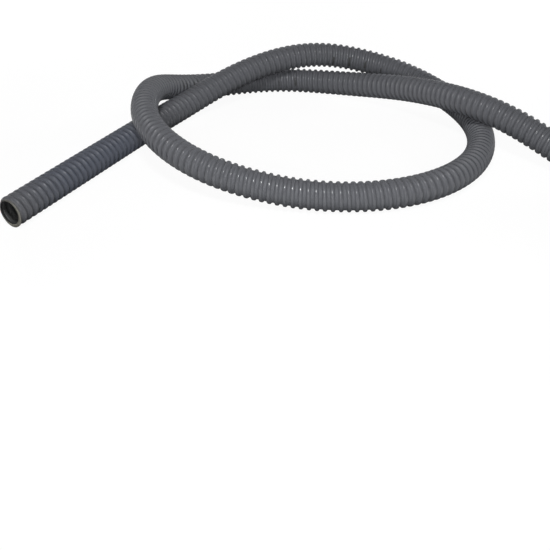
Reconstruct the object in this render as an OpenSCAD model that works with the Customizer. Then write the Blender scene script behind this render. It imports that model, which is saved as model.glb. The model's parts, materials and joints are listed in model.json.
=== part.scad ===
// Drain hose kit for a motorhome: one long ribbed hose, laid on the floor in a loose open knot.
// One end is bare and open. The other is clamped on a coupler with a swivelling bayonet ring.
// Millimetres, +Z up. The part lies on the floor, with its origin under the middle of its box.

/* [Hose] */
// Bore of the hose
bore_d = 74; // [66:0.5:77]
// Thickness of the wall in the grooves
wall_t = 1.2; // [1:0.1:2]
// Height of the ribs above the grooves
rib_h = 5.8; // [4:0.1:7]
// Ribs along the whole hose
rib_count = 180; // [60:1:184]
// Depth of the round mouth at the bare end
mouth_l = 90; // [70:1:100]

/* [Coupler] */
// Wall of the spigot inside the hose
spigot_wall = 2.5; // [2:0.1:4]
// Length of the spigot inside the hose
spigot_l = 72; // [60:1:80]
// Thickness of the flange that the hose butts against
flange_t = 6; // [5:0.5:8]
// How far the flange stands proud of the bayonet ring, so that it lies on the floor
flange_rim = 1.5; // [1:0.1:3]
// Wall of the neck that the bayonet ring turns on
neck_wall = 10; // [8.5:0.1:12]
// Length of the neck
neck_l = 20; // [18:0.5:26]

/* [Bayonet ring] */
// Step from the neck out to the bore that registers on the vehicle's outlet
socket_step = 8; // [6:0.5:12]
// Length of that bore
socket_l = 8; // [6:0.5:12]
// Wall of the ring around that bore
ring_wall = 5; // [4:0.1:7]
// Number of bayonet slots
slot_count = 4; // [3:1:4]
// Width of a slot's mouth, for one lug of the outlet
slot_w = 13; // [10:0.5:15]
// Length of a slot along the axis, for one lug
slot_leg = 8; // [6:0.5:10]
// Turn that locks the ring on the lugs, in degrees
lock_turn = 24; // [18:1:28]
// Thickness of the hooks over the lugs
hook_t = 2.8; // [2:0.1:5]
// Finger flutes around the ring
flute_count = 20; // [12:4:24]

/* [Clamp] */
// Width of the clamp band
band_w = 12.7; // [10:0.1:15]
// Thickness of the clamp band
band_t = 0.8; // [0.7:0.1:1]
// Distance from the flange to the middle of the band
band_at = 30; // [24:1:36]
// Thread diameter of the clamp screw
screw_d = 7; // [6:0.1:8]

/* [Hidden] */
$fn = 96;
hose_grey = [0.33, 0.34, 0.36];
coupler_black = [0.09, 0.09, 0.1];
ring_grey = [0.25, 0.26, 0.28];
steel = [0.72, 0.73, 0.75];
gasket_black = [0.05, 0.05, 0.05];

sides = 8;
corner = 1 / cos(180 / sides);
steps = 24;
straight_l = 90;
running = 0.05;
gap = 0.3;
bevel = 1;
overcut = 1;
spigot_fit = 0.5;
socket_lip = 2.5;

groove_d = bore_d + 2 * wall_t;
crest_d = groove_d + 2 * rib_h;
spigot_r = bore_d / 2 - spigot_fit;
passage_d = 2 * (spigot_r - spigot_wall);
neck_d = passage_d + 2 * neck_wall;
neck_end = flange_t + neck_l;
socket_d = neck_d + 2 * socket_step;
ring_d = socket_d + 2 * ring_wall;
flange_d = ring_d + 2 * flange_rim;
ring_z = flange_t + gap;
socket_z = neck_end + socket_lip;
socket_end = socket_z + socket_l;
slot_z = socket_end + bevel;
ring_end = slot_z + slot_leg + hook_t;

// The route of the hose from the coupler to the bare end: X, Y, and its lift off the floor in diameters.
// It crosses itself three times. The strand from the coupler passes over the right side of the loop
// and under the far strand, and the left turn passes over the strand to the bare end.
coupler_lift = (flange_d - crest_d) / 2 / crest_d;
plan = [
  [860, -372, coupler_lift], [810, -322, coupler_lift], [751, -263, 0.33], [670, -187, 0.74],
  [587, -107, 1.04], [497, -1, 1.1], [415, 125, 0.89], [312, 262, 0.55], [190, 372, 0.2],
  [55, 446, 0.03], [-90, 480, 0], [-236, 458, 0], [-380, 402, 0.02], [-491, 299, 0.39],
  [-548, 160, 1.01], [-560, -5, 1.14], [-535, -160, 1.05], [-460, -300, 0.88], [-345, -405, 0.61],
  [-205, -460, 0.3], [-55, -485, 0.05], [100, -494, 0], [250, -463, 0], [383, -385, 0],
  [485, -265, 0], [540, -115, 0], [553, 40, 0], [527, 190, 0.02], [455, 325, 0.2],
  [345, 430, 0.52], [200, 490, 0.84], [50, 494, 1.1], [-90, 446, 1.12], [-230, 369, 0.86],
  [-355, 283, 0.42], [-458, 184, 0.04], [-552, 28, 0], [-653, -175, 0], [-813, -495, 0]];
route = [for (p = plan) [p.x, p.y, (p.z + 0.5) * crest_d]];
last = len(route) - 1;
coupler_way = unit(route[0] - route[1]);
mouth_way = unit(route[last] - route[last - 1]);
coupler_end = route[0] + straight_l * coupler_way;
mouth_end = route[last] + straight_l * mouth_way;

function unit(v) = v / norm(v);

// A uniform cubic B-spline over the route, with a mirrored point past each end
guide = concat([2 * route[0] - route[1]], route, [2 * route[last] - route[last - 1]]);
function spline(i, u) =
  (pow(1 - u, 3) * guide[i] + (3 * pow(u, 3) - 6 * u * u + 4) * guide[i + 1]
   + (3 * u + 3 * u * u - 3 * pow(u, 3) + 1) * guide[i + 2] + pow(u, 3) * guide[i + 3]) / 6;
bends = [for (i = [0 : last - 1], k = [0 : steps - 1]) spline(i, k / steps)];
path = concat([coupler_end], bends, [route[last], mouth_end]);
along = [for (i = 0, s = 0; i < len(path);
              s = s + norm(path[min(i + 1, len(path) - 1)] - path[i]), i = i + 1) s];
hose_l = along[len(along) - 1];
along_x = [for (i = [0 : len(path) - 1]) [along[i], path[i].x]];
along_y = [for (i = [0 : len(path) - 1]) [along[i], path[i].y]];
along_z = [for (i = [0 : len(path) - 1]) [along[i], path[i].z]];

function spot(s) = [lookup(s, along_x), lookup(s, along_y), lookup(s, along_z)];
function heading(s) = unit(spot(s + 3) - spot(s - 3));
function side_of(t) = unit([-t.y, t.x, 0]);

// One ring of the hose: flat sides stand at radius r, and one of them faces the floor
function ring(s, r) =
  let (c = spot(s), t = heading(s), n = side_of(t), u = cross(t, n))
  [for (k = [0 : sides - 1])
    let (a = (k + 0.5) * 360 / sides, p = c + r * corner * (cos(a) * n + sin(a) * u))
    [p.x, p.y, max(p.z, 0)]];

pitch = hose_l / rib_count;
pinched_rib = 1.2;
pinched_r = groove_d / 2 + pinched_rib;
pinch_l = band_at + band_w + pitch;
mouth_taper = mouth_l + pitch;

// Outer radius at half pitch i: a crest on odd ones, drawn in under the clamp
function wall_r(i) =
  let (s = i * pitch / 2, crest = i % 2 == 1)
  crest ? (s < pinch_l ? pinched_r : crest_d / 2) : groove_d / 2;

// Bore radius at pitch i: just inside the round mouth that is cut at the bare end
function bore_r(i) = hose_l - i * pitch < mouth_taper ? bore_d / 2 / corner - gap : bore_d / 2;

outside = [for (i = [0 : 2 * rib_count]) ring(i * pitch / 2, wall_r(i))];
inside = [for (i = [0 : rib_count]) ring(i * pitch, bore_r(i))];
function flat_list(rings) = [for (q = rings, p = q) p];
function skin(rings, first, out) =
  [for (i = [0 : len(rings) - 2], k = [0 : sides - 1])
    let (a = first + i * sides + k, b = first + i * sides + (k + 1) % sides)
    for (f = out ? [[a, a + sides, b], [b, a + sides, b + sides]]
                 : [[a, b, a + sides], [b, b + sides, a + sides]]) f];
function rim(o, q, start) =
  [for (k = [0 : sides - 1])
    let (n = (k + 1) % sides)
    for (f = start ? [[o + k, o + n, q + k], [o + n, q + n, q + k]]
                   : [[o + k, q + k, o + n], [o + n, q + k, q + n]]) f];
outer_n = len(outside) * sides;
inner_n = len(inside) * sides;

// The middle of the part's box, which the origin stands under
tip = coupler_end + ring_end * coupler_way;
shell = flat_list(outside);
low_x = min([for (p = shell) p.x]);
low_y = min([for (p = shell) p.y]);
high_x = max(max([for (p = shell) p.x]), tip.x + ring_d / 2 * abs(coupler_way.y));
high_y = max([for (p = shell) p.y]);
middle = [(low_x + high_x) / 2, (low_y + high_y) / 2, 0];

// Least gap between stretches of the hose that lie apart along it, from the rings' own corners
probe = 20;
apart = 3;
nearby = 1.6;
skip = floor(apart * crest_d / probe);
spots = [for (s = [0 : probe : hose_l]) ring(s, crest_d / 2)];
mids = [for (s = [0 : probe : hose_l]) spot(s)];
function support(q, c, w) = max([for (p = q) (p - c) * w]);
gaps = [for (i = [0 : len(mids) - 1], j = [i + skip : 1 : len(mids) - 1])
  let (w = mids[j] - mids[i], d = norm(w))
  if (d < crest_d * nearby) d - support(spots[i], mids[i], w / d) - support(spots[j], mids[j], -w / d)];
echo(hose_length = hose_l, least_gap = min(gaps), middle = middle);
echo(coupler_end = coupler_end - middle, coupler_way = coupler_way);
echo(mouth_end = mouth_end - middle, mouth_way = mouth_way);

// Sets a piece on the coupler's axis: its Z runs outwards from the hose's end, its -X points up
module on_coupler() {
  translate(coupler_end - middle)
    rotate([0, 90, atan2(coupler_way.y, coupler_way.x)])
      children();
}

// Sets a piece on the clamp's screw: X points up from the hose, Z runs along the screw
band_gap = 0.2;
tail_lap = band_t / 2;
band_r = pinched_r * corner + band_gap;
tail_r = band_r + 2 * band_t - tail_lap;
saddle_t = 0.7;
module on_clamp() {
  on_coupler()
    translate([-(tail_r + saddle_t + screw_d / 2), 0, -band_at])
      rotate([90, 0, 180])
        children();
}

// Ribbed hose wall, open from end to end, with a round mouth at the bare end
module hose() {
  color(hose_grey)
    difference() {
      translate(-middle)
        polyhedron(
          concat(shell, flat_list(inside)),
          concat(skin(outside, 0, true), skin(inside, outer_n, false),
                 rim(0, outer_n, true),
                 rim(outer_n - sides, outer_n + inner_n - sides, false)));
      translate(mouth_end - middle)
        rotate([0, 90, atan2(mouth_way.y, mouth_way.x)])
          translate([0, 0, -mouth_l])
            cylinder(d = bore_d, h = mouth_l + overcut);
    }
}

// Spigot inside the hose, the flange that it butts on, and the neck for the bayonet ring
web_t = 7;
lead_l = 6;
lead_in = 1.5;
retain_t = 2.6;
retain_gap = 0.1;
groove_z = flange_t + gap + web_t + gap;
groove_end = groove_z + retain_t + 2 * retain_gap;
groove_depth = 2;
groove_r = neck_d / 2 - groove_depth;
seat_depth = 2;
seat_inner_wall = 2.5;
seat_outer_wall = 2;
seat_z = neck_end - seat_depth;
seat_low = passage_d / 2 + seat_inner_wall;
seat_high = neck_d / 2 - seat_outer_wall;
module hose_spigot() {
  color(coupler_black)
    on_coupler()
      rotate_extrude()
        polygon([
          [passage_d / 2, -spigot_l], [spigot_r - lead_in, -spigot_l], [spigot_r, -spigot_l + lead_l],
          [spigot_r, 0], [flange_d / 2 - bevel, 0], [flange_d / 2, bevel],
          [flange_d / 2, flange_t - bevel], [flange_d / 2 - bevel, flange_t], [neck_d / 2, flange_t],
          [neck_d / 2, groove_z], [groove_r, groove_z], [groove_r, groove_end],
          [neck_d / 2, groove_end], [neck_d / 2, neck_end], [seat_high, neck_end],
          [seat_high, seat_z], [seat_low, seat_z], [seat_low, neck_end], [passage_d / 2, neck_end]]);
}

// Ring that turns on the neck and hooks over the outlet's lugs
flute_r = 4;
flute_depth = 1.8;
lug_clear = 0.6;
first_slot = 45;
module bayonet_ring() {
  color(ring_grey)
    on_coupler()
      difference() {
        rotate_extrude()
          polygon([
            [neck_d / 2 + running, ring_z], [ring_d / 2 - bevel, ring_z], [ring_d / 2, ring_z + bevel],
            [ring_d / 2, ring_end - bevel], [ring_d / 2 - bevel, ring_end],
            [socket_d / 2 + lug_clear, ring_end], [socket_d / 2 + lug_clear, socket_end],
            [socket_d / 2, socket_end], [socket_d / 2, socket_z],
            [socket_d / 2 - bevel, socket_z], [socket_d / 2 - bevel, ring_z + web_t],
            [neck_d / 2 + running, ring_z + web_t]]);
        for (k = [0 : slot_count - 1])
          rotate([0, 0, k * 360 / slot_count + first_slot]) {
            translate([neck_d / 2, -slot_w / 2, slot_z])
              cube([ring_d / 2, slot_w, ring_end]);
            rotate_extrude(angle = lock_turn)
              translate([neck_d / 2, slot_z])
                square([ring_d / 2, slot_leg]);
          }
        for (k = [0 : flute_count - 1])
          rotate([0, 0, (k + 0.5) * 360 / flute_count])
            translate([ring_d / 2 + flute_r - flute_depth, 0, ring_z - bevel])
              cylinder(r = flute_r, h = socket_end - ring_z - bevel);
      }
}

// Split ring in the neck's groove that keeps the bayonet ring on
split_w = 8;
retain_proud = 3;
module retaining_ring() {
  color(steel)
    on_coupler()
      translate([0, 0, groove_z + retain_gap])
        difference() {
          cylinder(r = neck_d / 2 + retain_proud, h = retain_t);
          translate([0, 0, -overcut])
            cylinder(r = groove_r + 2 * retain_gap, h = retain_t + 2 * overcut);
          translate([0, -split_w / 2, -overcut])
            cube([neck_d, split_w, retain_t + 2 * overcut]);
        }
}

// Rubber seal in the end of the neck, standing a little proud of it
seal_gap = 0.2;
seal_proud = 2;
seal_low = seat_low + seal_gap;
seal_high = seat_high - seal_gap;
seal_end = neck_end + seal_proud;
module face_gasket() {
  color(gasket_black)
    on_coupler()
      rotate_extrude()
        polygon([
          [seal_low, seat_z], [seal_high, seat_z], [seal_high, seal_end - bevel],
          [seal_high - bevel, seal_end], [seal_low + bevel, seal_end], [seal_low, seal_end - bevel]]);
}

// Band round the hose, with its free tail lapped over it under the screw
tail_from = 165;
tail_turn = 53;
module clamp_band() {
  color(steel)
    on_coupler()
      translate([0, 0, -band_at - band_w / 2]) {
        difference() {
          cylinder(r = band_r + band_t, h = band_w);
          translate([0, 0, -overcut])
            cylinder(r = band_r, h = band_w + 2 * overcut);
        }
        rotate([0, 0, tail_from])
          rotate_extrude(angle = tail_turn)
            translate([tail_r - band_t, 0])
              square([band_t, band_w]);
      }
}

// Saddle on the band, with cheeks beside it and a round tunnel that the screw turns in
saddle_l = 18;
cheek_t = 1.2;
cheek_gap = 0.1;
dome_t = 1.2;
plate_top = 2;
tunnel_r = screw_d / 2 + running;
dome_r = tunnel_r + dome_t;
saddle_low = screw_d / 2 + saddle_t + tail_r - band_r;
saddle_w = band_w + 2 * (cheek_gap + cheek_t);
module clamp_housing() {
  color(steel)
    difference() {
      on_clamp() {
        translate([-saddle_low, -saddle_w / 2, -saddle_l / 2])
          cube([saddle_low - tunnel_r + plate_top, saddle_w, saddle_l]);
        translate([-saddle_low, -dome_r, -saddle_l / 2])
          cube([saddle_low, 2 * dome_r, saddle_l]);
        cylinder(r = dome_r, h = saddle_l, center = true);
      }
      on_clamp()
        cylinder(r = tunnel_r, h = 2 * saddle_l, center = true);
      on_coupler()
        translate([0, 0, -band_at - band_w / 2 - cheek_gap])
          cylinder(r = tail_r + running, h = band_w + 2 * cheek_gap);
    }
}

// Worm screw with a collar and a slotted hexagon head
tip_l = 2;
collar_rim = 1.3;
collar_d = screw_d + 2 * collar_rim;
collar_t = 1.2;
head_rim = 1.1;
head_d = screw_d + 2 * head_rim;
head_h = 5;
slot_t = 1.4;
slot_depth = 1.8;
collar_z = saddle_l / 2 + gap;
head_z = collar_z + collar_t;
module clamp_screw() {
  color(steel)
    on_clamp()
      difference() {
        union() {
          translate([0, 0, -saddle_l / 2 - tip_l])
            cylinder(d = screw_d, h = saddle_l + tip_l + 2 * gap);
          translate([0, 0, collar_z])
            cylinder(d = collar_d, h = collar_t);
          translate([0, 0, head_z])
            cylinder(d = head_d, h = head_h, $fn = 6);
        }
        translate([-head_d, -slot_t / 2, head_z + head_h - slot_depth])
          cube([2 * head_d, slot_t, head_h]);
      }
}

hose();
hose_spigot();
bayonet_ring();
retaining_ring();
face_gasket();
clamp_band();
clamp_housing();
clamp_screw();
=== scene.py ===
import json
import math

import bmesh
import bpy
import numpy as np
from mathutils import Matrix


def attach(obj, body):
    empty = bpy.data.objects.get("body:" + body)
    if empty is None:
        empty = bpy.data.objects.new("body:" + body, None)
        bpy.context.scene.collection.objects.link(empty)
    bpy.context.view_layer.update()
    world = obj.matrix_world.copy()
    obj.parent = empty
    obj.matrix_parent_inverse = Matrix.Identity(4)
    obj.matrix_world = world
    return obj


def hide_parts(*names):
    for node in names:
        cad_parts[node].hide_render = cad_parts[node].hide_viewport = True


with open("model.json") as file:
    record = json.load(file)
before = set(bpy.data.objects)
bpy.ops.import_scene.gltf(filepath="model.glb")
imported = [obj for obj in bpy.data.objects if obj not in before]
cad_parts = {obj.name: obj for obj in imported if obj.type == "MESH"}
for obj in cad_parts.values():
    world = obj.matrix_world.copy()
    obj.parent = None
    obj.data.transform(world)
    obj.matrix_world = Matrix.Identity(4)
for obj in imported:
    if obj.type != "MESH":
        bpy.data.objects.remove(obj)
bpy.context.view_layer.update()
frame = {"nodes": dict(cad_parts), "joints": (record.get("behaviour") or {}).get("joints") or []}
scene = bpy.context.scene
print("frame loaded:", len(frame["nodes"]), "nodes")

# Camera, where the picture was taken from: it looks along +Y, tipped down
viewPoint = {
    "place": (-0.185341, -2.470554, 1.10107),
    "tipDown": 33.275,  # degrees
    "focalPixels": 800.0,
    "framePixels": 550.0,
    "sensor": 36.0,
    "clip": (0.05, 50.0),
}


def makeCamera(spec):
    data = bpy.data.cameras.new("photoCamera")
    data.sensor_width = spec["sensor"]
    data.lens = spec["focalPixels"] / spec["framePixels"] * spec["sensor"]
    data.clip_start, data.clip_end = spec["clip"]
    camera = bpy.data.objects.new("photoCamera", data)
    camera.location = spec["place"]
    camera.rotation_euler = (math.radians(90 - spec["tipDown"]), 0, 0)
    scene.collection.objects.link(camera)
    scene.camera = camera


makeCamera(viewPoint)
print("camera set")

# The hose, in metres. Its route runs from the coupler to the bare end: x, y, and lift in diameters
hoseSpec = {
    "crest": 0.044,  # radius over the ribs
    "groove": 0.0375,  # radius between them
    "bore": 0.0372,
    "boreRib": 0.0022,  # how far the bore opens out behind a rib
    "ribbedBore": 0.34,  # how deep the bore's own ribs are modelled
    "boreFade": 0.05,  # over which they run out
    "pitch": 0.022,
    "ribHalf": 0.245,  # half the rib's width, as a share of the pitch
    "ribPower": 6,  # the higher, the squarer the rib
    "rowsAt": (0.06, 0.155, 0.225, 0.275, 0.33),  # rows of points either side of a crest, in pitches
    "firstTurn": 0.45,  # where in its turn the rib starts at the coupler
    "straight": 0.090,  # straight run out of the route at either end
    "ragged": 0.005,  # how far the cut end runs on
    "clampCrest": 0.0424,  # crest radius where the clamp squeezes it
    "clampReach": 0.045,  # how far in from the coupler's end it does
    "exitRise": 0.02,  # the point named as its exit lies this far above its middle line
    "lip": 0.010,  # length of the drawn-in lip at the cut end
    "lipBore": 0.0342,
    "wornEdge": 0.009,  # how far the pale wear reaches from the cut
    "cutSlant": 6.5,  # how far the cut at the bare end is off square, in degrees
    "slantReach": 0.07,  # over which the slant comes in
    "slateShadeRun": ((0.03, 0.20), (0.52, 0.66)),  # the darker, bluer stretch of painted shade fades in and out at these depths
    "around": 32,  # points round it
    "boreStep": 0.07,
    "plan": [
        (0.860, -0.372, None), (0.810, -0.322, None), (0.751, -0.263, 0.33), (0.670, -0.187, 0.74),
        (0.587, -0.107, 1.04), (0.497, -0.001, 1.1), (0.415, 0.125, 0.89), (0.312, 0.262, 0.55),
        (0.190, 0.372, 0.2), (0.055, 0.446, 0.03), (-0.090, 0.480, 0), (-0.236, 0.458, 0),
        (-0.380, 0.402, 0.02), (-0.491, 0.299, 0.39), (-0.548, 0.160, 1.01), (-0.560, -0.005, 1.14),
        (-0.535, -0.160, 1.05), (-0.460, -0.300, 0.88), (-0.345, -0.405, 0.61), (-0.205, -0.460, 0.3),
        (-0.055, -0.485, 0.05), (0.100, -0.494, 0), (0.250, -0.463, 0), (0.383, -0.385, 0),
        (0.485, -0.265, 0), (0.540, -0.115, 0), (0.553, 0.040, 0), (0.527, 0.190, 0.02),
        (0.455, 0.325, 0.2), (0.345, 0.430, 0.52), (0.200, 0.490, 0.84), (0.050, 0.494, 1.1),
        (-0.090, 0.446, 1.12), (-0.230, 0.369, 0.86), (-0.355, 0.283, 0.42), (-0.458, 0.184, 0.04),
        (-0.552, 0.028, 0), (-0.653, -0.175, 0), (-0.813, -0.495, 0),
    ],
}


def unit(v):
    return v / np.linalg.norm(v, axis=-1, keepdims=True)


def easeStep(x):
    # From 0 to 1 as x does, level at both ends: three x squared less two x cubed
    x = np.clip(x, 0, 1)
    return x * x * (3 - 2 * x)


def runOut(end, behind, length):
    # The point that far straight on past the end
    return end + length * unit(end - behind)


def hoseLine(spec, couplerEnd, steps=60):
    # A uniform cubic B-spline over the route, with a mirrored point past each end and a straight run out.
    # The route is set so that it starts at the coupler's end, whose own height the first two points take
    diameter = 2 * spec["crest"]
    points = np.array([(x, y, couplerEnd[2] if lift is None else (lift + 0.5) * diameter)
                       for x, y, lift in spec["plan"]])
    start = runOut(points[0], points[1], spec["straight"])
    points[:, :2] += couplerEnd[:2] - start[:2]
    guide = np.vstack([2 * points[0] - points[1], points, 2 * points[-1] - points[-2]])
    u = (np.arange(steps) / steps)[None, :, None]
    a, b, c, d = (guide[k:len(guide) - 3 + k, None, :] for k in range(4))
    bends = ((1 - u) ** 3 * a + (3 * u ** 3 - 6 * u ** 2 + 4) * b
             + (1 + 3 * u + 3 * u ** 2 - 3 * u ** 3) * c + u ** 3 * d) / 6
    start = runOut(points[0], points[1], spec["straight"])
    end = runOut(points[-1], points[-2], spec["straight"] + spec["ragged"])
    line = np.vstack([start, bends.reshape(-1, 3), points[-1], end])
    along = np.concatenate([[0], np.cumsum(np.linalg.norm(np.diff(line, axis=0), axis=1))])
    return line, along


def onLine(line, along, s):
    # The point at length s, straight between the line's own points
    return np.stack([np.interp(s, along, line[:, k]) for k in range(3)], axis=-1)


def wrapTube(line, along, s, angle, radius, shift, near=0.004):
    # A point at length s, turned by angle round the line at that radius, then moved along by shift.
    # Angle 0 is level and a quarter turn is up. The line's direction there is the way from a point
    # near metres behind to one as far ahead
    ahead = onLine(line, along, np.minimum(s + near, along[-1]))
    behind = onLine(line, along, np.maximum(s - near, 0))
    forward = unit(ahead - behind)
    level = unit(np.stack([-forward[..., 1], forward[..., 0], np.zeros_like(s)], axis=-1))
    up = np.cross(forward, level)
    side = np.cos(angle)[..., None] * level + np.sin(angle)[..., None] * up
    return onLine(line, along, s) + radius[..., None] * side + shift[..., None] * forward


def slantCut(spec, depth, angle, radius):
    # Towards the bare end a point moves along the line by its sideways offset, so the cut ends off square
    share = np.clip(1 - depth / spec["slantReach"], 0, 1)
    return share * radius * np.cos(angle) * math.tan(math.radians(spec["cutSlant"]))


def ribShape(spec, s, angle):
    # One right-handed helical rib, 1 on the crest and 0 in the groove: with x the distance from the crest
    # over the rib's half width, its height is 1 / (1 + x to the power)
    phase = s / spec["pitch"] + spec["firstTurn"] - angle / (2 * np.pi)
    offset = np.abs(phase - np.round(phase))
    return 1 / (1 + (offset / spec["ribHalf"]) ** spec["ribPower"])


def outerRadius(spec, s, angle):
    # Groove plus rib, with the crest squeezed a little under the clamp
    squeeze = np.clip((s - spec["clampReach"]) / spec["pitch"], 0, 1)
    crest = spec["clampCrest"] + (spec["crest"] - spec["clampCrest"]) * squeeze
    return spec["groove"] + (crest - spec["groove"]) * ribShape(spec, s, angle)


def boreRadius(spec, total, s, angle):
    # The bore, opened out a little behind each rib in the stretch that shows, and drawn in at the lip
    depth = total - s
    inside = easeStep(depth / spec["lip"])
    shown = np.clip((spec["ribbedBore"] - depth) / spec["boreFade"], 0, 1) * inside
    plain = spec["lipBore"] + (spec["bore"] - spec["lipBore"]) * inside
    return plain + spec["boreRib"] * ribShape(spec, s, angle) * shown


def slateShadeShare(spec, depth):
    # 1 in the stretch behind the bare end that is painted a darker, bluer grey as shade, 0 elsewhere
    fadeIn, fadeOut = spec["slateShadeRun"]
    return np.interp(depth, (*fadeIn, *fadeOut), (0, 1, 1, 0))


def helixRows(spec, low, high):
    # Rows that run with the rib, closer on its flanks. A row moves on by a whole pitch in one turn,
    # and is held between low and high
    around, side = spec["around"], np.array(spec["rowsAt"])
    inPitch = np.concatenate([side, 1 - side[::-1]]) - spec["firstTurn"]
    turns = np.arange(math.floor(low / spec["pitch"]) - 1, math.ceil(high / spec["pitch"]) + 2)
    j = np.arange(around)[None, :]
    s = np.clip(spec["pitch"] * ((turns[:, None] + inPitch).reshape(-1, 1) + j / around), low, high)
    angle = np.broadcast_to(2 * np.pi * j / around, s.shape)
    return s, angle


def helixFaces(s, rows):
    # Quads between neighbouring rows and angles. The last angle joins the first a whole pitch further on
    index = np.arange(s.size).reshape(s.shape)
    nextIndex = np.hstack([index[:, 1:], np.vstack([index[rows:, :1], np.full((rows, 1), -1)])])
    quads = np.stack([index[:-1], nextIndex[:-1], nextIndex[1:], index[1:]], axis=-1).reshape(-1, 4)
    return quads[(quads >= 0).all(axis=1)]


def ringAngles(spec):
    return 2 * np.pi * np.arange(spec["around"]) / spec["around"]


def ringRows(spec, low, high):
    # Square rings a step apart, for the part of the bore that is never seen
    count = max(2, round((high - low) / spec["boreStep"]) + 1)
    s, angle = np.meshgrid(np.linspace(low, high, count), ringAngles(spec), indexing="ij")
    return s, angle


def ringFaces(s):
    # Quads between neighbouring rings, with each ring's last point joined to its first
    index = np.arange(s.size).reshape(s.shape)
    turned = np.roll(index, -1, axis=1)
    return np.stack([index[:-1], turned[:-1], turned[1:], index[1:]], axis=-1).reshape(-1, 4)


def meshObject(name, points, faces, smooth=True):
    mesh = bpy.data.meshes.new(name)
    mesh.from_pydata(points.reshape(-1, 3).tolist(), [], faces)
    mesh.update()
    mesh.polygons.foreach_set("use_smooth", np.full(len(mesh.polygons), smooth))
    piece = bpy.data.objects.new(name, mesh)
    scene.collection.objects.link(piece)
    return piece


def cleanFaces(points, quads, finish, perMetre=1e6):
    # Points that fall together, to a micrometre, become one, and quads that close up become triangles or go
    keys = np.round(points * perMetre).astype(np.int64)
    _, firstAt, same = np.unique(keys, axis=0, return_index=True, return_inverse=True)
    faces = same.reshape(-1)[quads]
    distinct = faces != np.roll(faces, 1, axis=1)
    corners = distinct.sum(axis=1)
    opposite = (faces[:, 0] == faces[:, 2]) | (faces[:, 1] == faces[:, 3])
    wholeMask = (corners == 4) & ~opposite
    halfMask = (corners == 3) & ~opposite
    halves = faces[halfMask][distinct[halfMask]].reshape(-1, 3)
    finish = np.concatenate([finish[wholeMask], finish[halfMask]]).astype(np.int32)
    return points[firstAt], firstAt, faces[wholeMask].tolist() + halves.tolist(), finish


def makeHose(spec, couplerEnd):
    # Four surfaces: the ribbed outside, the bore near its mouth, the plain bore behind it, the two cut faces
    vinylFace, boreFace, cutFace = range(3)  # in the order the hose is dressed
    line, along = hoseLine(spec, couplerEnd)
    total = along[-1]
    mouth = total - spec["ribbedBore"]
    rows = 2 * len(spec["rowsAt"])
    blocks = []
    s, angle = helixRows(spec, 0.0, total)
    blocks.append((s, angle, outerRadius(spec, s, angle), helixFaces(s, rows), vinylFace))
    s, angle = helixRows(spec, mouth, total)
    blocks.append((s, angle, boreRadius(spec, total, s, angle), helixFaces(s, rows)[:, ::-1], boreFace))
    s, angle = ringRows(spec, 0.0, mouth)
    blocks.append((s, angle, np.full(s.shape, spec["bore"]), ringFaces(s)[:, ::-1], boreFace))
    for end in (0.0, total):
        angle = np.tile(ringAngles(spec), (2, 1))
        s = np.full(angle.shape, end)
        outer, inner = outerRadius(spec, s, angle), boreRadius(spec, total, s, angle)
        radius = np.where([[True], [False]], outer, inner)
        blocks.append((s, angle, radius, ringFaces(s) if end else ringFaces(s)[:, ::-1], cutFace))
    points, quads, finish, start = [], [], [], 0
    fields = {"ribHeight": [], "cutWear": [], "slateShadeRun": []}
    for s, angle, radius, faces, kind in blocks:
        depth = total - s
        shift = slantCut(spec, depth, angle, radius)
        points.append(wrapTube(line, along, s, angle, radius, shift).reshape(-1, 3))
        fields["ribHeight"].append(ribShape(spec, s, angle).reshape(-1))
        fields["cutWear"].append(np.clip(1 - depth / spec["wornEdge"], 0, 1).reshape(-1))
        fields["slateShadeRun"].append(slateShadeShare(spec, depth).reshape(-1))
        quads.append(faces + start)
        finish.append(np.full(len(faces), kind))
        start += s.size
    points, kept, faces, finish = cleanFaces(np.vstack(points), np.vstack(quads), np.concatenate(finish))
    piece = meshObject("ribbedHose", points, faces)
    piece.data.polygons.foreach_set("material_index", finish)
    for name, values in fields.items():
        field = piece.data.attributes.new(name, "FLOAT", "POINT")
        field.data.foreach_set("value", np.concatenate(values)[kept].astype(np.float32))
    return piece, line, total


joints = {joint["name"]: joint for joint in frame["joints"]}
couplerEnd = np.array(joints["ring_swivel"]["pos_m"])
couplerWay = unit(np.array(joints["ring_swivel"]["axis"]))
hosePiece, hoseMiddle, hoseTotal = makeHose(hoseSpec, couplerEnd)
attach(hosePiece, "hose_line")
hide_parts("hose")
hosePiece.data.calc_loop_triangles()
print("hose made: %.3f m, %d triangles" % (hoseTotal, len(hosePiece.data.loop_triangles)))


def setInputs(node, values):
    for label, value in values.items():
        node.inputs[label].default_value = value


def feed(tree, socket, value):
    # A plain number or colour is set on the socket, and anything else is linked to it
    if isinstance(value, (int, float)):
        socket.default_value = value
    elif isinstance(value, tuple):
        socket.default_value = (*value, 1)
    else:
        tree.links.new(value, socket)


def ramp(tree, source, low, high, toLow=0.0, toHigh=1.0):
    node = tree.nodes.new("ShaderNodeMapRange")
    setInputs(node, {"From Min": low, "From Max": high, "To Min": toLow, "To Max": toHigh})
    tree.links.new(source, node.inputs["Value"])
    return node.outputs["Result"]


def maths(tree, kind, a, b):
    node = tree.nodes.new("ShaderNodeMath")
    node.operation = kind
    feed(tree, node.inputs[0], a)
    feed(tree, node.inputs[1], b)
    return node.outputs[0]


def noise(tree, coords, scale, detail, roughness=0.5):
    node = tree.nodes.new("ShaderNodeTexNoise")
    setInputs(node, {"Detail": detail, "Roughness": roughness})
    tree.links.new(scale, node.inputs["Scale"])
    tree.links.new(coords, node.inputs["Vector"])
    return node.outputs["Fac"]


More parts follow.
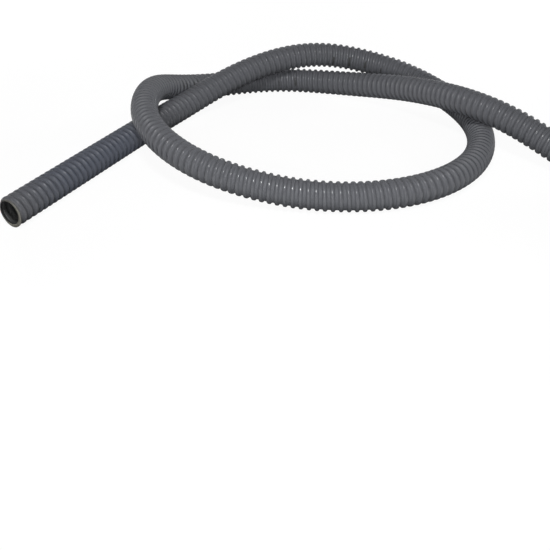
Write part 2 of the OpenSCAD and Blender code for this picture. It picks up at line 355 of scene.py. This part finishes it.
def mixColour(tree, factor, a, b):
    node = tree.nodes.new("ShaderNodeMix")
    node.data_type = "RGBA"
    tree.links.new(factor, node.inputs[0])
    feed(tree, node.inputs[6], a)  # the colour pair comes after the number and vector pairs
    feed(tree, node.inputs[7], b)
    return node.outputs[2]


def attribute(tree, name):
    node = tree.nodes.new("ShaderNodeAttribute")
    node.attribute_name = name
    return node.outputs["Fac"]


# Shared effects
def newGroup(name, inputs, outputs):
    group = bpy.data.node_groups.new(name, "ShaderNodeTree")
    for label, value in inputs.items():
        socket = group.interface.new_socket(label, in_out="INPUT", socket_type="NodeSocketFloat")
        socket.default_value = value
    for label in outputs:
        group.interface.new_socket(label, in_out="OUTPUT", socket_type="NodeSocketFloat")
    return group, group.nodes.new("NodeGroupInput"), group.nodes.new("NodeGroupOutput")


def makeGrainGroup(detail=3.0):
    # Fine moulded grain: a small even noise for height, and slow patches for gloss
    group, took, gave = newGroup("mouldGrain", {"Scale": 900.0, "Patch Scale": 9.0}, ["Height", "Patches"])
    coords = group.nodes.new("ShaderNodeTexCoord").outputs["Object"]
    group.links.new(noise(group, coords, took.outputs["Scale"], detail), gave.inputs["Height"])
    group.links.new(noise(group, coords, took.outputs["Patch Scale"], detail), gave.inputs["Patches"])
    return group


def makeScuffGroup(detail=6.0, broken=0.7, highest=0.75, soft=0.2):
    # Handling marks: a broken-up noise, kept only where it is strongest
    group, took, gave = newGroup("scuffs", {"Scale": 40.0, "Cover": 0.3}, ["Mask"])
    coords = group.nodes.new("ShaderNodeTexCoord").outputs["Object"]
    marks = noise(group, coords, took.outputs["Scale"], detail, broken)
    limit = maths(group, "SUBTRACT", highest, took.outputs["Cover"])
    over = maths(group, "SUBTRACT", marks, limit)
    group.links.new(ramp(group, over, 0.0, soft), gave.inputs["Mask"])
    return group


grainGroup = makeGrainGroup()
scuffGroup = makeScuffGroup()
patchRange = (0.3, 0.7)  # nearly all of the patches' noise lies between these


def placeGroup(tree, group, values):
    node = tree.nodes.new("ShaderNodeGroup")
    node.node_tree = group
    setInputs(node, values)
    return node


def newMaterial(name, plain):
    material = bpy.data.materials.new(name)
    material.use_nodes = True
    tree = material.node_tree
    shader = tree.nodes["Principled BSDF"]
    setInputs(shader, plain)
    return material, tree, shader


def addGrain(tree, shader, spec):
    # Grain as bump on the shader. Gives back the slow patches
    grain = placeGroup(tree, grainGroup, {"Scale": spec["grainScale"], "Patch Scale": spec["patchScale"]})
    bump = tree.nodes.new("ShaderNodeBump")
    setInputs(bump, {"Distance": spec["grain"], "Strength": 1.0})
    tree.links.new(grain.outputs["Height"], bump.inputs["Height"])
    tree.links.new(bump.outputs["Normal"], shader.inputs["Normal"])
    return grain.outputs["Patches"]


def addScuffs(tree, spec):
    marks = placeGroup(tree, scuffGroup, {"Scale": spec["scuffScale"], "Cover": spec["scuffCover"]})
    return marks.outputs["Mask"]


# The hose's vinyl. A rib height is 0 in the groove and 1 on the crest
vinylSpec = {
    "crestColour": (0.117, 0.1205, 0.1325),
    "grooveColour": (0.115, 0.1185, 0.1305),
    "crestFrom": (0.0, 0.45),  # rib heights over which one colour turns into the other
    "slateShadeColour": (0.0915, 0.1005, 0.126),  # painted shade: a darker, bluer grey on the stretch behind the bare end
    "scuffColour": (0.165, 0.166, 0.170),
    "scuffFrom": (0.7, 1.0),  # rib heights over which scuffs come in
    "scuffMost": 0.55,
    "scuffScale": 55.0,
    "scuffCover": 0.16,
    "wearColour": (0.245, 0.238, 0.224),  # stressed pale at the cut
    "wearPatches": (0.35, 0.6),  # patch noise over which wear goes from its least to full
    "wearLeast": 0.4,
    "roughness": (0.22, 0.60),  # on a crest and in a groove
    "glossFrom": (0.55, 0.95),  # rib heights over which that changes
    "patchiness": 0.06,  # how far it strays from that in patches
    "patchScale": 6.0,
    "gloss": 0.5,
    "grain": 0.00005,  # height of the moulded grain, in metres
    "grainScale": 700.0,
}


def makeVinyl(spec):
    material, tree, shader = newMaterial("hoseVinyl", {"Specular IOR Level": spec["gloss"]})
    rib = attribute(tree, "ribHeight")
    patches = addGrain(tree, shader, spec)
    onCrest = ramp(tree, rib, *spec["crestFrom"])
    colour = mixColour(tree, onCrest, spec["grooveColour"], spec["crestColour"])
    # The stretch behind the bare end is painted darker and bluer, as shade
    colour = mixColour(tree, attribute(tree, "slateShadeRun"), colour, spec["slateShadeColour"])
    exposed = ramp(tree, rib, *spec["scuffFrom"], 0.0, spec["scuffMost"])
    scuffed = maths(tree, "MULTIPLY", addScuffs(tree, spec), exposed)
    colour = mixColour(tree, scuffed, colour, spec["scuffColour"])
    uneven = ramp(tree, patches, *spec["wearPatches"], spec["wearLeast"], 1.0)
    pale = maths(tree, "MULTIPLY", attribute(tree, "cutWear"), uneven)
    tree.links.new(mixColour(tree, pale, colour, spec["wearColour"]), shader.inputs["Base Color"])
    crestRough, grooveRough = spec["roughness"]
    even = ramp(tree, rib, *spec["glossFrom"], grooveRough, crestRough)
    stray = ramp(tree, patches, *patchRange, -spec["patchiness"], spec["patchiness"])
    tree.links.new(maths(tree, "ADD", even, stray), shader.inputs["Roughness"])
    return material


# Where the cut goes through the thick rib it shows pale, and dark in the thin web
cutSpec = {
    "web": (0.085, 0.084, 0.080),
    "rib": (0.26, 0.25, 0.215),
    "ribFrom": (0.05, 0.6),
    "paleLeast": 0.7,
    "roughness": 0.7,
    "grain": 0.00008,
    "grainScale": 1500.0,
    "patchScale": 60.0,
}


def makeCutEdge(spec):
    material, tree, shader = newMaterial("cutEdge", {"Roughness": spec["roughness"]})
    patches = addGrain(tree, shader, spec)
    thick = ramp(tree, attribute(tree, "ribHeight"), *spec["ribFrom"])
    pale = maths(tree, "MULTIPLY", thick, ramp(tree, patches, *patchRange, spec["paleLeast"], 1.0))
    tree.links.new(mixColour(tree, pale, spec["web"], spec["rib"]), shader.inputs["Base Color"])
    return material


# The other finishes: a colour, its handling marks, and the least and most roughness in patches
mouldedGrain = {"metal": 0.0, "grain": 0.00005, "grainScale": 1500.0, "patchScale": 30.0,
                "scuffScale": 160.0, "scuffCover": 0.14}
rolledGrain = {"metal": 1.0, "grain": 0.00002, "grainScale": 2500.0, "patchScale": 60.0,
               "scuffScale": 300.0, "scuffCover": 0.2}
scuffedSpecs = {
    "couplerPlastic": {**mouldedGrain, "colour": (0.026, 0.026, 0.028), "worn": (0.07, 0.07, 0.072),
                       "roughness": (0.38, 0.52)},
    "ringPlastic": {**mouldedGrain, "colour": (0.052, 0.055, 0.061), "worn": (0.11, 0.11, 0.115),
                    "roughness": (0.42, 0.56)},
    "sealRubber": {**mouldedGrain, "colour": (0.008, 0.008, 0.008), "worn": (0.03, 0.03, 0.03),
                   "roughness": (0.65, 0.8)},
    # The bore's inside: a darker grey than the vinyl, painted shade in the hollow; its scuffs are wear
    "shadedBoreSkin": {**mouldedGrain, "colour": (0.052, 0.053, 0.053), "worn": (0.078, 0.078, 0.076),
                 "roughness": (0.5, 0.65)},
    "rolledSteel": {**rolledGrain, "colour": (0.56, 0.57, 0.58), "worn": (0.36, 0.36, 0.37),
                    "roughness": (0.22, 0.4)},
}


def makeScuffed(name, spec):
    material, tree, shader = newMaterial(name, {"Metallic": spec["metal"]})
    patches = addGrain(tree, shader, spec)
    colour = mixColour(tree, addScuffs(tree, spec), spec["colour"], spec["worn"])
    tree.links.new(colour, shader.inputs["Base Color"])
    tree.links.new(ramp(tree, patches, *patchRange, *spec["roughness"]), shader.inputs["Roughness"])
    return material


vinyl = makeVinyl(vinylSpec)
cutEdge = makeCutEdge(cutSpec)
scuffed = {name: makeScuffed(name, spec) for name, spec in scuffedSpecs.items()}
finishes = {"coupler": scuffed["couplerPlastic"], "ring": scuffed["ringPlastic"],
            "gasket": scuffed["sealRubber"], "steel": scuffed["rolledSteel"]}


def dress(piece, *materials):
    if piece.data.materials:  # clearing them also clears which face has which
        piece.data.materials.clear()
    for material in materials:
        piece.data.materials.append(material)


# The bore faces take the darker skin of painted shade
dress(hosePiece, vinyl, scuffed["shadedBoreSkin"], cutEdge)
print("materials set")

# Rigid pieces: the frame's own solids with their edges eased, each with its finish
easedSpecs = {
    "couplerBody": {"node": "hose_spigot", "body": "hose_line", "slot": "coupler", "ease": 0.0005},
    "swivelRing": {"node": "bayonet_ring", "body": "bayonet", "slot": "ring", "ease": 0.0006},
    "snapRing": {"node": "retaining_ring", "body": "hose_line", "slot": "steel", "ease": 0.0003},
    "faceSeal": {"node": "face_gasket", "body": "hose_line", "slot": "gasket", "ease": 0.0004},
    "clampSaddle": {"node": "clamp_housing", "body": "hose_line", "slot": "steel", "ease": 0.0003},
    "clampScrew": {"node": "clamp_screw", "body": "screw", "slot": "steel", "ease": 0.00025},
}


def makeEased(name, spec, merge=2e-6, flat=0.3, sharp=32.0):
    # The solid's mesh with its points merged and flat faces joined, so that a bevel runs along the edges.
    # Faces less than flat degrees apart are one, and edges of more than sharp degrees are eased
    mesh = frame["nodes"][spec["node"]].data.copy()
    work = bmesh.new()
    work.from_mesh(mesh)
    bmesh.ops.remove_doubles(work, verts=work.verts, dist=merge)
    bmesh.ops.dissolve_limit(work, angle_limit=math.radians(flat), verts=work.verts, edges=work.edges)
    work.to_mesh(mesh)
    work.free()
    mesh.name = name
    mesh.polygons.foreach_set("use_smooth", np.ones(len(mesh.polygons), dtype=bool))
    piece = bpy.data.objects.new(name, mesh)
    scene.collection.objects.link(piece)
    bevel = piece.modifiers.new("easedEdges", "BEVEL")
    bevel.limit_method = "ANGLE"
    bevel.angle_limit = math.radians(sharp)
    bevel.width = spec["ease"]
    bevel.segments = 2
    bevel.harden_normals = True
    dress(piece, finishes[spec["slot"]])
    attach(piece, spec["body"])
    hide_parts(spec["node"])


for pieceName, pieceSpec in easedSpecs.items():
    makeEased(pieceName, pieceSpec)
print("coupler made")

# The clamp's strip, in metres and in degrees round the hose, with 180 on top: it starts under the saddle,
# goes round once, climbs over its own start and ends in a free tail
bandSpec = {
    "thick": 0.0006,
    "edge": 0.0002,  # rounding of its edges
    "columns": 15,  # points across its outer face
    "start": 168.0,
    "climb": (500.0, 526.0),
    "lap": 1.03,  # how far it climbs, in thicknesses
    "end": 578.0,
    "slotted": (425.0, 572.0),  # stretch with slots for the screw's thread
    "slottedFade": 3.0,  # over which the row of slots starts and ends
    "slotPitch": 0.0022,
    "slotDepth": 0.0003,
    "slotHalf": 0.0042,  # half a slot's length
    "slotFade": 0.001,  # over which a slot's end runs out
    "slotEdge": 0.9,  # the higher, the steeper a slot's sides
    "slant": 0.12,
    "tailRound": 0.006,
    "tailLeast": 0.2,  # square of the share of its width that is left at its end
    "plainStep": 2.5,
    "slotStep": 0.4,
    "sharp": 40.0,  # edges of more degrees than this stay crisp
}


def roundCoupler(nodeName):
    # A node's points as distances from the coupler's axis and lengths along it
    mesh = frame["nodes"][nodeName].data
    points = np.empty(3 * len(mesh.vertices))
    mesh.vertices.foreach_get("co", points)
    points = points.reshape(-1, 3) - couplerEnd
    along = points @ couplerWay
    return np.linalg.norm(points - along[:, None] * couplerWay, axis=1), along


def makeBand(spec):
    # A flat strip's section carried round the axis. Its radius grows by about a thickness over the climb,
    # its width follows a quarter circle at the tail, and slanted waves press the slots into the outer face
    reach, along = roundCoupler("clamp_band")
    low, middle, half = reach.min(), (along.min() + along.max()) / 2, (along.max() - along.min()) / 2
    thick, edge, (slotLow, slotHigh) = spec["thick"], spec["edge"], spec["slotted"]
    turn = np.concatenate([np.arange(spec["start"], slotLow, spec["plainStep"]),
                           np.arange(slotLow, spec["end"], spec["slotStep"]), [spec["end"]]])[:, None]
    angle = np.radians(turn)
    length = angle * low
    face = np.linspace(edge / half - 1, 1 - edge / half, spec["columns"])
    across = np.concatenate([face, [1, 1], face[::-2], [-1, -1]])[None, :] * half
    height = np.concatenate([np.full(face.size, thick), [thick - edge, edge],
                             np.zeros(face[::-2].size), [edge, thick - edge]])[None, :]
    wave = np.cos(2 * np.pi * (length + spec["slant"] * across) / spec["slotPitch"])
    within = easeStep((spec["slotHalf"] - np.abs(across)) / spec["slotFade"] + 0.5) * (height == thick)
    within = within * easeStep((turn - slotLow) / spec["slottedFade"])
    within = within * easeStep((slotHigh - turn) / spec["slottedFade"])
    climbLow, climbHigh = spec["climb"]
    lift = easeStep((turn - climbLow) / (climbHigh - climbLow)) * thick * spec["lap"]
    radius = low + lift + height - spec["slotDepth"] * within * easeStep(0.5 + spec["slotEdge"] * wave)
    toEnd = np.clip((length[-1] - length) / spec["tailRound"], 0, 1)
    narrow = np.sqrt(np.maximum(1 - (1 - toEnd) ** 2, spec["tailLeast"]))
    down, sideways = np.array((0, 0, -1)), np.cross((0, 0, 1), couplerWay)
    outward = np.cos(angle)[..., None] * down + np.sin(angle)[..., None] * sideways
    points = couplerEnd + radius[..., None] * outward + (middle + across * narrow)[..., None] * couplerWay
    ends = np.arange(radius.size).reshape(radius.shape)[[0, -1]]
    faces = ringFaces(radius)[:, ::-1].tolist() + [ends[0].tolist(), ends[1, ::-1].tolist()]
    return meshObject("clampStrip", points, faces)


bandPiece = makeBand(bandSpec)
bandPiece.data.set_sharp_from_angle(angle=math.radians(bandSpec["sharp"]))
dress(bandPiece, finishes["steel"])
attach(bandPiece, "hose_line")
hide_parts("clamp_band")
print("clamp made")

# Floor: white to the eye with a faint shadow, grey to the light that bounces off it, and in a reflection
# shaded where something stands close
stageSpec = {
    "reach": 14.0,
    "bounce": 0.30,
    "white": 0.93,
    "shadowShare": 0.10,
    "shadeReach": 0.3,
    "shadeFrom": 0.55,  # a floor point this open to the sky, or less, is dark in a reflection
}


def mirrorRay(tree, path):
    return maths(tree, "MAXIMUM", path.outputs["Is Glossy Ray"], path.outputs["Is Transmission Ray"])


def addDiffuse(tree, share):
    node = tree.nodes.new("ShaderNodeBsdfDiffuse")
    node.inputs["Color"].default_value = (share, share, share, 1)
    return node.outputs[0]


def makeFloor(spec):
    reach = spec["reach"]
    corners = np.array([(-reach, -reach, 0), (reach, -reach, 0), (reach, reach, 0), (-reach, reach, 0)])
    floor = meshObject("floor", corners, [(0, 1, 2, 3)], smooth=False)
    material, tree, shader = newMaterial("floorPaper", {})
    tree.nodes.remove(shader)
    path = tree.nodes.new("ShaderNodeLightPath")
    seen = maths(tree, "MAXIMUM", path.outputs["Is Camera Ray"], mirrorRay(tree, path))
    near = tree.nodes.new("ShaderNodeAmbientOcclusion")
    near.inputs["Distance"].default_value = spec["shadeReach"]
    openness = ramp(tree, near.outputs["AO"], spec["shadeFrom"], 1.0)
    shade = maths(tree, "MAXIMUM", path.outputs["Is Camera Ray"], openness)
    glow = tree.nodes.new("ShaderNodeEmission")
    tree.links.new(maths(tree, "MULTIPLY", shade, spec["white"]), glow.inputs["Strength"])
    both = tree.nodes.new("ShaderNodeAddShader")
    tree.links.new(addDiffuse(tree, spec["shadowShare"]), both.inputs[0])
    tree.links.new(glow.outputs[0], both.inputs[1])
    mix = tree.nodes.new("ShaderNodeMixShader")
    tree.links.new(seen, mix.inputs[0])
    tree.links.new(addDiffuse(tree, spec["bounce"]), mix.inputs[1])
    tree.links.new(both.outputs[0], mix.inputs[2])
    tree.links.new(mix.outputs[0], tree.nodes["Material Output"].inputs["Surface"])
    dress(floor, material)


# A gridded box in front, and above it a strip that alone shows in a reflection.
# The two behind light the far side. Spread is in degrees
lightSpecs = {
    "glintBox": {"place": (-0.30, -1.98, 2.50), "aim": (0.0, -0.3, 0.05),
                 "size": (0.5, 0.2), "spread": 180, "power": 38.0, "glints": True},
    "frontBox": {"place": (-0.2, -3.64, 1.3), "aim": (-0.03, -0.12, 0.05),
                 "size": (1.2, 1.2), "spread": 50, "power": 6.8, "glints": False},
    "backLeftBox": {"place": (-2.3, 2.6, 0.5), "aim": (0.0, 0.0, 0.05),
                    "size": (0.9, 0.9), "spread": 180, "power": 74.0, "glints": False},
    "backRightBox": {"place": (2.7, 2.2, 0.5), "aim": (0.0, 0.0, 0.05),
                     "size": (0.9, 0.9), "spread": 180, "power": 110.0, "glints": False},
}


def makeLight(name, spec):
    data = bpy.data.lights.new(name, "AREA")
    data.shape = "RECTANGLE"
    data.size, data.size_y = spec["size"]
    data.spread = math.radians(spec["spread"])
    data.energy = spec["power"]
    light = bpy.data.objects.new(name, data)
    light.location = spec["place"]
    light.visible_glossy = spec["glints"]
    toward = np.array(spec["aim"]) - np.array(spec["place"])
    pitch = math.atan2(-toward[2], math.hypot(toward[0], toward[1]))
    light.rotation_euler = (math.pi / 2 - pitch, 0, math.atan2(-toward[0], toward[1]))
    scene.collection.objects.link(light)


# How bright the room is to the surfaces it lights, to the eye and in a reflection
roomSpec = {"ambient": 0.09, "seen": 0.92, "mirrored": 0.3}


def makeWorld(spec):
    world = bpy.data.worlds.new("room")
    scene.world = world
    world.use_nodes = True
    tree = world.node_tree
    sky = tree.nodes["Background"]
    sky.inputs["Color"].default_value = (1, 1, 1, 1)
    path = tree.nodes.new("ShaderNodeLightPath")
    seen = maths(tree, "MULTIPLY", path.outputs["Is Camera Ray"], spec["seen"])
    mirrored = maths(tree, "MULTIPLY", mirrorRay(tree, path), spec["mirrored"])
    shown = maths(tree, "MAXIMUM", seen, mirrored)
    tree.links.new(maths(tree, "MAXIMUM", shown, spec["ambient"]), sky.inputs["Strength"])


makeFloor(stageSpec)
for lightName, lightSpec in lightSpecs.items():
    makeLight(lightName, lightSpec)
makeWorld(roomSpec)
scene.view_settings.view_transform = "Standard"
print("stage and lights set")
